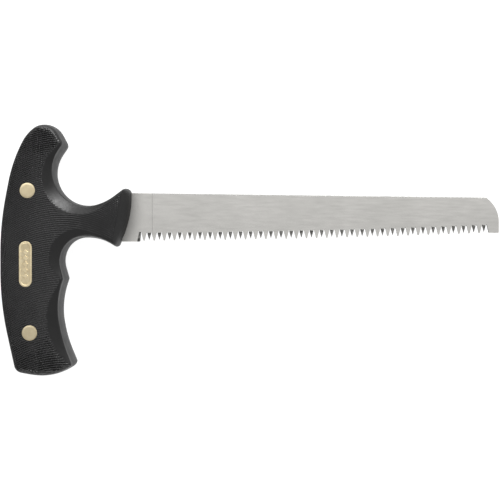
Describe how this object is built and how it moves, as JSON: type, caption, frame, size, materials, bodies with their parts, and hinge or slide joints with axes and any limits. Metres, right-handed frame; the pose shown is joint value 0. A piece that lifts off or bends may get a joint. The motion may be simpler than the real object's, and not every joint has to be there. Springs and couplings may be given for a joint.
{
  "type": "t-handle hand saw",
  "caption": "Fixed-blade hand saw with a toothed steel plate and a riveted, finger-grooved T-shaped grip set across it, for cutting bone, brush or board by pull strokes.",
  "frame": {"origin": "middle of the bounding box in X and Y, on the plane of the back scale's flat face, which the saw lies on", "axes": "+X along the blade towards its toe, +Y up the grip towards the horn, +Z through the thickness of the grip, out of the front face"},
  "size_m": [0.25, 0.126, 0.021],
  "materials": {
    "blade_steel": "bead-blasted stainless steel with fine grinding marks along the plate and darker ground facets on every other tooth",
    "grip_plastic": "black moulded plastic, faces with fine curved saw marks, smooth semi-matt scoops and edges",
    "rivet_brass": "pale satin brass, faces sanded flush, bright bevelled rims",
    "shield_brass": "pale satin brass with a raised rim round a grained field"
  },
  "bodies": {
    "root": {"blade": "blade_steel", "front_scale": "grip_plastic", "back_scale": "grip_plastic", "upper_rivet_post": "rivet_brass", "upper_rivet_barrel": "rivet_brass", "lower_rivet_post": "rivet_brass", "lower_rivet_barrel": "rivet_brass", "shield": "shield_brass", "shield_pins": "rivet_brass"}
  },
  "joints": []
}
